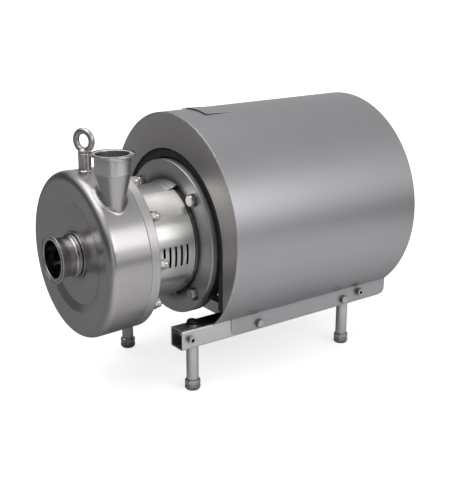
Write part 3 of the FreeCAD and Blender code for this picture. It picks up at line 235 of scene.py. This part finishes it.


# Colour and roughness wander a little, edges are whitened as wear and as a painted highlight, corners are
# darkened as painted shade, and the grain stands in the bump
def metal(name, look):
    look = {**metalDefaults, **look}
    material, tree, surface = newMaterial(name)
    place = objectPlace(tree)
    offsets = grainOffsets(tree, place, look["grain"])
    grained = grainCoords(tree, offsets, look["grain"])
    cloud = noise(tree, place, look["cloudScale"], look["cloudDetail"], look["cloudRoughness"])
    grain = noise(tree, grained, look["grain"]["scale"], look["grainDetail"], look["grainRoughness"])
    mottle = calc(tree, "ADD", calc(tree, "MULTIPLY", cloud, 1 - look["grainShare"]),
                  calc(tree, "MULTIPLY", grain, look["grainShare"]))
    tint = blend(tree, spread(tree, mottle, *look["tintReach"]), look["darkTint"], look["lightTint"])
    # Edges whitened: edge wear, and a painted highlight along the rounded edges
    edgeWhitened = blend(tree, edgeMask(tree, look["edgeWidth"]), tint, look["edgeTint"])
    # Painted shade: the base colour darkens in corners and between parts, where shade falls
    openness = addNode(tree, "ShaderNodeAmbientOcclusion", samples=shadingSamples,
                       Distance=look["cornerShadeReach"], only_local=look["ownCornersOnly"])
    unshaded = calc(tree, "POWER", openness.outputs["AO"], look["cornerShadeDepth"])
    tree.links.new(blend(tree, unshaded, look["cornerShadeTint"], edgeWhitened), surface.inputs["Base Color"])
    wander = calc(tree, "MULTIPLY", calc(tree, "ADD", cloud, grain), 0.5)
    tree.links.new(spread(tree, wander, *look["roughness"]), surface.inputs["Roughness"])
    surface.inputs["Metallic"].default_value = 1.0
    if look["anisotropic"]:
        brush(tree, surface, grainWay(tree, offsets, look["grain"]), look["anisotropic"])
    addBump(tree, surface, grain, look["bump"], look["bumpHeight"], roundedNormal(tree, look["edgeWidth"]))
    return material


# Paint or plastic with a fine peel, worn lighter along its edges
def paint(name, look):
    look = {**paintDefaults, **look}
    material, tree, surface = newMaterial(name)
    place = objectPlace(tree)
    peel = noise(tree, place, look["peelScale"], look["peelDetail"])
    cloud = noise(tree, place, look["cloudScale"], look["cloudDetail"])
    tint = blend(tree, cloud, look["darkTint"], look["lightTint"])
    edgeWhitened = blend(tree, edgeMask(tree, look["edgeWidth"]), tint, look["edgeTint"])
    tree.links.new(edgeWhitened, surface.inputs["Base Color"])
    tree.links.new(spread(tree, cloud, *look["roughness"]), surface.inputs["Roughness"])
    surface.inputs["Specular IOR Level"].default_value = look["specular"]
    addBump(tree, surface, peel, look["bump"], look["bumpHeight"])
    return material


# Black rubber with fine ribs that cross the seal's band, over its arch and down its legs; their crests are
# painted lighter as a painted highlight
def ribbedRubber(name, look):
    material, tree, surface = newMaterial(name)
    place = objectPlace(tree)
    x, y, z = split(tree, place)
    height = calc(tree, "SUBTRACT", z, shaftHeight)
    angle = calc(tree, "ARCTAN2", calc(tree, "MAXIMUM", height, 0.0), calc(tree, "ABSOLUTE", x))
    overArch = calc(tree, "MULTIPLY", angle, look["bandRadius"])
    walk = calc(tree, "ADD", overArch, calc(tree, "MINIMUM", height, 0.0))
    ribs = calc(tree, "SINE", calc(tree, "MULTIPLY", walk, 2 * math.pi / look["ribPitch"]))
    ribShade = calc(tree, "MULTIPLY", calc(tree, "ADD", ribs, 1.0), 0.5)
    crestHighlight = calc(tree, "POWER", ribShade, look["crestSharpness"])
    grit = noise(tree, place, look["gritScale"], look["gritDetail"])
    # Painted highlight on the ribs' crests, painted shade in their troughs
    tint = blend(tree, calc(tree, "MULTIPLY", crestHighlight, grit), look["darkTint"], look["lightTint"])
    tree.links.new(tint, surface.inputs["Base Color"])
    tree.links.new(spread(tree, grit, *look["roughness"]), surface.inputs["Roughness"])
    surface.inputs["Specular IOR Level"].default_value = look["specular"]
    relief = calc(tree, "ADD", ribs, calc(tree, "MULTIPLY", grit, look["gritShare"]))
    addBump(tree, surface, relief, look["bump"], look["bumpHeight"])
    return material


def dress(material, *names):
    for name in names:
        if not nodes[name].material_slots:
            nodes[name].data.materials.append(material)
        for slot in nodes[name].material_slots:
            slot.material = material


# Finish of each piece: widths, reaches and radii in metres, scales per metre

corners = ("front_left", "front_right", "rear_left", "rear_right")

casingLook = {
    "lightTint": (0.54, 0.522, 0.535), "darkTint": (0.47, 0.452, 0.465), "edgeTint": (0.80, 0.79, 0.79),
    "roughness": (0.26, 0.31), "cloudScale": 11.0, "edgeWidth": 0.0012, "bump": 0.08,
    "anisotropic": 0.55,
    "grain": {"lay": "aroundShaft", "scale": 900.0, "stretch": 0.006}}
dress(metal("casingSteel", casingLook), "pump_casing", "back_plate")

turnedLook = {
    "lightTint": (0.66, 0.64, 0.64), "darkTint": (0.52, 0.50, 0.50), "edgeTint": (0.86, 0.84, 0.83),
    "roughness": (0.14, 0.20), "cloudScale": 18.0, "edgeWidth": 0.0010, "bump": 0.05,
    "anisotropic": 0.2, "cornerShadeReach": 0.05, "cornerShadeDepth": 1.0,
    "grain": {"lay": "aroundShaft", "scale": 1400.0, "stretch": 0.004}}
dress(metal("turnedSteel", turnedLook), "inlet_union", "impeller", "impeller_nut")

outletLook = {
    **turnedLook, "lightTint": (0.84, 0.82, 0.82), "darkTint": (0.81, 0.79, 0.79), "roughness": (0.25, 0.28),
    "grain": {"lay": "aroundUpright", "axis": uprightAxis("outlet_union"), "scale": 350.0, "stretch": 0.004}}
dress(metal("outletSteel", outletLook), "outlet_union")

postLook = {
    **turnedLook, "lightTint": (0.84, 0.82, 0.80), "darkTint": (0.70, 0.68, 0.66),
    "grain": {"lay": "aroundUpright", "axis": uprightAxis("lifting_post"), "scale": 1400.0, "stretch": 0.003}}
dress(metal("postSteel", postLook), "lifting_post")

shroudLook = {
    "lightTint": (0.49, 0.488, 0.508), "darkTint": (0.45, 0.448, 0.468), "edgeTint": (0.86, 0.86, 0.88),
    "roughness": (0.34, 0.42), "cloudScale": 5.0, "edgeWidth": 0.0035, "bump": 0.16,
    "grain": {"lay": "alongShaft", "scale": 1500.0, "stretch": 0.02}}
dress(metal("shroudSteel", shroudLook), "shroud_wrapper", "shroud_rear_plate")

# The front plate is the wrapper's sheet steel, painted much lighter as painted light, and its wide corner
# reach paints shade near the seal and flange
endPlateLook = {
    "lightTint": (0.86, 0.83, 0.825), "darkTint": (0.80, 0.77, 0.765), "edgeTint": (0.95, 0.95, 0.95),
    "roughness": (0.34, 0.44), "cloudScale": 6.0, "edgeWidth": 0.0025, "bump": 0.16,
    "cornerShadeReach": 0.22, "cornerShadeDepth": 1.2,
    "grain": {"lay": "plain", "scale": 1200.0}}
dress(metal("endPlateSteel", endPlateLook), "shroud_front_plate")

guardLook = {
    "lightTint": (0.82, 0.815, 0.80), "darkTint": (0.74, 0.73, 0.71), "edgeTint": (0.96, 0.95, 0.94),
    "roughness": (0.29, 0.34), "cloudScale": 12.0, "edgeWidth": 0.0008, "bump": 0.10,
    "anisotropic": 0.85, "cornerShadeReach": 0.007, "cornerShadeDepth": 3.0,
    "grain": {"lay": "aroundShaft", "scale": 1500.0, "stretch": 0.004}}
dress(metal("guardSteel", guardLook), "guard_left", "guard_right")

# Deep painted shade in its own corners, where the barrel meets the flange
adaptorLook = {
    "lightTint": (0.64, 0.63, 0.625), "darkTint": (0.52, 0.51, 0.505), "edgeTint": (0.92, 0.91, 0.90),
    "roughness": (0.38, 0.48), "cloudScale": 22.0, "edgeWidth": 0.0030, "bump": 0.3,
    "anisotropic": 0.6, "cornerShadeReach": 0.028, "cornerShadeDepth": 5.0, "ownCornersOnly": True,
    "grain": {"lay": "aroundShaft", "scale": 800.0, "stretch": 0.01}}
dress(metal("adaptorSteel", adaptorLook), "adaptor")

fastenerLook = {
    "lightTint": (0.66, 0.64, 0.615), "darkTint": (0.48, 0.46, 0.44), "edgeTint": (0.80, 0.78, 0.76),
    "roughness": (0.27, 0.37), "cloudScale": 60.0, "edgeWidth": 0.0009, "bump": 0.15,
    "cornerShadeReach": 0.014, "cornerShadeDepth": 2.6,
    "grain": {"lay": "plain", "scale": 900.0}}
dress(metal("fastenerSteel", fastenerLook), "eye_bolt", "cap_nuts", "guard_screws", "flange_bolts",
      "flange_nuts", "motor_foot_bolts", "lock_nuts", "leg_washers", "skirt_bolts", "socket_screws",
      *["foot_screw_" + corner for corner in corners])

frameLook = {
    "lightTint": (0.74, 0.74, 0.73), "darkTint": (0.62, 0.62, 0.61), "edgeTint": (0.90, 0.90, 0.89),
    "roughness": (0.28, 0.40), "cloudScale": 14.0, "edgeWidth": 0.0022, "bump": 0.2, "cornerShadeDepth": 0.4,
    "grain": {"lay": "alongShaft", "scale": 1300.0, "stretch": 0.03}}
dress(metal("frameSteel", frameLook), "rail_left", "rail_right", "front_cross_bar", "rear_cross_bar",
      *["leg_" + corner for corner in corners])

shaftLook = {
    "lightTint": (0.66, 0.65, 0.64), "darkTint": (0.52, 0.51, 0.50), "edgeTint": (0.85, 0.84, 0.83),
    "roughness": (0.20, 0.32), "cloudScale": 20.0, "edgeWidth": 0.0008, "bump": 0.3,
    "grain": {"lay": "aroundShaft", "scale": 1100.0, "stretch": 0.004}}
dress(metal("shaftSteel", shaftLook), "motor_shaft", "stub_shaft", "clamp_ring", "bearing_outer_rings",
      "bearing_inner_rings", "bearing_balls")

coreLook = {
    "lightTint": (0.34, 0.33, 0.32), "darkTint": (0.22, 0.215, 0.21), "edgeTint": (0.45, 0.44, 0.43),
    "roughness": (0.40, 0.60), "cloudScale": 20.0, "edgeWidth": 0.0006, "bump": 0.5,
    "grain": {"lay": "aroundShaft", "scale": 1800.0, "stretch": 0.01}}
dress(metal("coreSteel", coreLook), "stator_core", "rotor_core")

copperLook = {
    "lightTint": (0.62, 0.28, 0.13), "darkTint": (0.42, 0.17, 0.08), "edgeTint": (0.70, 0.36, 0.18),
    "roughness": (0.30, 0.45), "cloudScale": 30.0, "edgeWidth": 0.0006, "bump": 0.8,
    "grain": {"lay": "aroundShaft", "scale": 700.0, "stretch": 0.01}}
dress(metal("copperWire", copperLook), "stator_windings")

motorLook = {
    "lightTint": (0.022, 0.023, 0.026), "darkTint": (0.010, 0.010, 0.012), "edgeTint": (0.10, 0.10, 0.105),
    "specular": 0.5, "roughness": (0.30, 0.45), "peelScale": 500.0, "bump": 0.3}
dress(paint("motorPaint", motorLook), "motor_flange", "motor_housing", "rear_end_shield", "fan_cowl",
      "terminal_box", "terminal_box_lid")

plasticLook = {
    "lightTint": (0.008, 0.008, 0.009), "darkTint": (0.003, 0.003, 0.004), "edgeTint": (0.03, 0.03, 0.03),
    "specular": 0.25, "roughness": (0.35, 0.50), "peelScale": 1500.0, "bump": 0.35}
dress(paint("blackPlastic", plasticLook), "cable_gland", "cooling_fan", "rail_pads", "leg_caps")

sealRingLook = {
    "lightTint": (0.060, 0.060, 0.065), "darkTint": (0.030, 0.030, 0.034), "edgeTint": (0.12, 0.12, 0.12),
    "specular": 0.5, "roughness": (0.15, 0.25), "peelScale": 900.0, "bump": 0.1}
dress(paint("sealRing", sealRingLook), "stationary_seal_ring", "rotary_seal_head")

# The crests take the light tint as a painted highlight, the troughs the near-black dark tint as painted shade
sealLook = {
    "lightTint": (0.24, 0.24, 0.27), "darkTint": (0.001, 0.001, 0.002),
    "specular": 0.25, "roughness": (0.6, 0.85),
    "bandRadius": 0.1865, "ribPitch": 0.0050, "crestSharpness": 3.0,
    "gritScale": 900.0, "gritDetail": 2.0, "gritShare": 0.3,
    "bump": 0.6, "bumpHeight": 0.0006}
sealRubber = ribbedRubber("sealRubber", sealLook)
dress(sealRubber, "shroud_seal", "casing_o_ring")
print("materials on every piece")


# The shroud's rubber seal: an arch over the flange with straight legs, its front face cut in fine ribs
sealShape = {
    "flangeGap": 0.0015,            # between the flange's side and the seal's inner face
    "legSide": 0.170,               # the legs' inner faces stand at least this far out
    "outerLimit": 0.2484,           # keeps the seal inside the shroud's sheet
    "ribHeight": 0.0010,
    "stationsPerRib": 6,
    "ribbedPoints": (3, 4, 5, 6),   # of the section, they rise and fall with the ribs
    "section": [                    # out from the inner face, and forward from the rear one
        (0.0, 0.0), (0.0, 0.0065), (0.0012, 0.0082), (0.0035, 0.0090), (0.0080, 0.0094), (0.0130, 0.0094),
        (0.0170, 0.0090), (0.0200, 0.0084), (0.0212, 0.0128), (0.0280, 0.0128), (0.0280, 0.0)]}


# Side and height from the shaft of a point in the section, at this turn of the arch or this far down a leg
def sealPlace(shape, innerRadius, out, turn, drop):
    reach = innerRadius + out
    if 0 <= turn <= math.pi:
        return -reach * math.cos(turn), reach * math.sin(turn)
    inner = math.sqrt(max(innerRadius ** 2 - drop ** 2, shape["legSide"] ** 2))
    return math.copysign(reach if out else inner, turn), -drop


# Joins rings of vertices into a closed skin
def skinRings(mesh, rings):
    for near, far in zip(rings, rings[1:]):
        for first in range(len(near)):
            second = (first + 1) % len(near)
            mesh.faces.new((near[first], near[second], far[second], far[first]))
    mesh.faces.new(reversed(rings[0]))
    mesh.faces.new(rings[-1])
    bmesh.ops.recalc_face_normals(mesh, faces=mesh.faces)


def makeSeal(shape, ribs):
    sealLow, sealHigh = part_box("shroud_seal")
    shroudLow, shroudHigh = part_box("shroud_wrapper")
    shroudCentre = shroudHigh.z - (shroudHigh.x - shroudLow.x) / 2
    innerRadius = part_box("motor_flange")[1].x + shape["flangeGap"]
    legLength = shaftHeight - sealLow.z
    archLength = math.pi * ribs["bandRadius"]
    wholeLength = 2 * legLength + archLength
    stations = round(wholeLength / ribs["ribPitch"] * shape["stationsPerRib"])
    mesh = bmesh.new()
    rings = []
    for index in range(stations + 1):
        walked = index * wholeLength / stations
        turn = math.pi * (walked - legLength) / archLength
        drop = legLength - min(walked, wholeLength - walked)
        ribLift = -shape["ribHeight"] * math.sin(2 * math.pi * drop / ribs["ribPitch"])
        ring = []
        for point, (out, forward) in enumerate(shape["section"]):
            x, height = sealPlace(shape, innerRadius, out, turn, drop)
            z = shaftHeight + height
            room = math.sqrt(shape["outerLimit"] ** 2 - (z - shroudCentre) ** 2)
            lift = ribLift if point in shape["ribbedPoints"] else 0.0
            ring.append(mesh.verts.new((max(-room, min(room, x)), sealHigh.y - forward - lift, z)))
        rings.append(ring)
    skinRings(mesh, rings)
    data = bpy.data.meshes.new("ribbedSeal")
    mesh.to_mesh(data)
    mesh.free()
    data.materials.append(sealRubber)
    for face in data.polygons:
        face.use_smooth = True
    seal = bpy.data.objects.new("ribbedSeal", data)
    bpy.context.scene.collection.objects.link(seal)
    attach(seal, "root")
    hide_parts("shroud_seal")


makeSeal(sealShape, sealLook)
print("seal made")


# Camera at the photograph's place, looking along its line of sight
cameraLook = {
    "place": (1.6743, -1.1745, 0.9120),
    "azimuth": 54.1,                # degrees round the pump, from its front towards its right side
    "down": 17.2,                   # degrees below level
    "lens": 68.8, "sensor": 36.0,   # millimetres
    "farClip": 200.0}


def makeCamera(look):
    azimuth = math.radians(look["azimuth"])
    down = math.radians(look["down"])
    right = Vector((math.cos(azimuth), math.sin(azimuth), 0))
    level = math.cos(down)
    backward = Vector((math.sin(azimuth) * level, -math.cos(azimuth) * level, math.sin(down)))
    turn = Matrix((right, backward.cross(right), backward)).transposed().to_4x4()
    data = bpy.data.cameras.new("camera")
    data.lens = look["lens"]
    data.sensor_width = look["sensor"]
    data.clip_end = look["farClip"]
    camera = bpy.data.objects.new("camera", data)
    camera.matrix_world = Matrix.Translation(look["place"]) @ turn
    bpy.context.scene.collection.objects.link(camera)
    bpy.context.scene.camera = camera


# Studio: a pale floor, a white backdrop in a grey room, and three soft lamps
white = (1, 1, 1, 1)

floorLook = {
    "tint": 0.84, "roughness": 0.9,
    "lift": (0.68, 1.0),            # keeps it white to the camera: near the pump, and far from it
    "liftReach": (0.8, 2.4),
    "steelSees": (0.32, 0.96),      # tint in reflections only: painted shade away from the pool, a painted pool of light in it
    "pool": (1.2, 0.1, 0.0),
    "poolEdge": (1.35, 0.95),
    "halfSize": 40.0}


def makeFloor(look):
    half = look["halfSize"]
    outline = [(-half, -half, 0), (half, -half, 0), (half, half, 0), (-half, half, 0)]
    mesh = bpy.data.meshes.new("floor")
    mesh.from_pydata(outline, [], [(0, 1, 2, 3)])
    floor = bpy.data.objects.new("floor", mesh)
    bpy.context.scene.collection.objects.link(floor)
    material, tree, surface = newMaterial("floorPaint")
    mesh.materials.append(material)
    surface.inputs["Roughness"].default_value = look["roughness"]
    path = addNode(tree, "ShaderNodeLightPath")
    place = objectPlace(tree)
    fromPool = addNode(tree, "ShaderNodeVectorMath", operation="DISTANCE")
    fromPool.inputs[1].default_value = look["pool"]
    tree.links.new(place, fromPool.inputs[0])
    # In reflections only, the floor gets a painted pool of light to the pump's right and painted shade
    # elsewhere
    inSteel = spread(tree, fade(tree, fromPool.outputs["Value"], *look["poolEdge"]), *look["steelSees"])
    tint = blend(tree, path.outputs["Is Glossy Ray"], look["tint"], inSteel)
    tree.links.new(tint, surface.inputs["Base Color"])
    away = addNode(tree, "ShaderNodeVectorMath", operation="LENGTH")
    tree.links.new(place, away.inputs[0])
    lift = spread(tree, fade(tree, away.outputs["Value"], *look["liftReach"]), *look["lift"])
    shown = calc(tree, "MULTIPLY", path.outputs["Is Camera Ray"], lift)
    surface.inputs["Emission Color"].default_value = white
    tree.links.new(shown, surface.inputs["Emission Strength"])


# Each side of the room fades in between two values of the direction's x, y and z
roomLook = {
    "fill": 0.42,                   # light on dull surfaces
    "grey": 0.52,                   # what the steel sees: grey walls
    "sides": [
        {"glow": 1.0, "x": (0.0, 0.45), "y": (0.80, 0.50), "z": (0.90, 0.30)},  # the white backdrop
        {"glow": 0.08, "y": (0.35, -0.10), "z": (0.62, 0.36)},                  # the dark front
        {"glow": 1.15, "y": (-0.25, -0.45), "z": (0.66, 0.78)}]}                # the long panel overhead


# White to the camera and through glass; steel sees the white backdrop too, and the grey room around it
def makeRoom(look):
    world = bpy.data.worlds.new("room")
    world.use_nodes = True
    tree = world.node_tree
    direction = split(tree, addNode(tree, "ShaderNodeTexCoord").outputs["Generated"])
    room = look["grey"]
    for side in look["sides"]:
        share = 1.0
        for axis in "xyz":
            if axis in side:
                share = calc(tree, "MULTIPLY", fade(tree, direction[axis.upper()], *side[axis]), share)
        room = blend(tree, share, room, side["glow"])
    path = addNode(tree, "ShaderNodeLightPath")
    straight = calc(tree, "MAXIMUM", path.outputs["Is Camera Ray"], path.outputs["Is Transmission Ray"])
    seen = blend(tree, path.outputs["Is Glossy Ray"], look["fill"], room)
    surface = tree.nodes["Background"]
    tree.links.new(blend(tree, straight, seen, 1.0), surface.inputs["Strength"])
    surface.inputs["Color"].default_value = white
    bpy.context.scene.world = world


lampLook = {
    "overhead": {"place": (-0.3, -1.0, 4.0), "target": (0, -0.6, 0), "size": (4.0, 3.6), "power": 62.0},
    "softbox": {"place": (3.4, 0.8, 1.95), "target": (0.1, -0.2, 0.3), "size": (2.4, 1.7), "power": 22.0},
    "front": {"place": (2.9, -2.0, 0.9), "target": (0.1, -0.2, 0.35), "size": (0.9, 1.8), "power": 4.2}}


def makeLamp(name, look):
    data = bpy.data.lights.new(name, "AREA")
    data.shape = "RECTANGLE"
    data.size, data.size_y = look["size"]
    data.energy = look["power"]
    lamp = bpy.data.objects.new(name, data)
    lamp.location = look["place"]
    lamp.rotation_euler = (Vector(look["target"]) - lamp.location).to_track_quat("-Z", "Y").to_euler()
    lamp.visible_camera = False
    bpy.context.scene.collection.objects.link(lamp)


makeCamera(cameraLook)
makeFloor(floorLook)
makeRoom(roomLook)
for name, look in lampLook.items():
    makeLamp(name, look)
bpy.context.scene.view_settings.view_transform = "Standard"
print("camera, floor and light set")
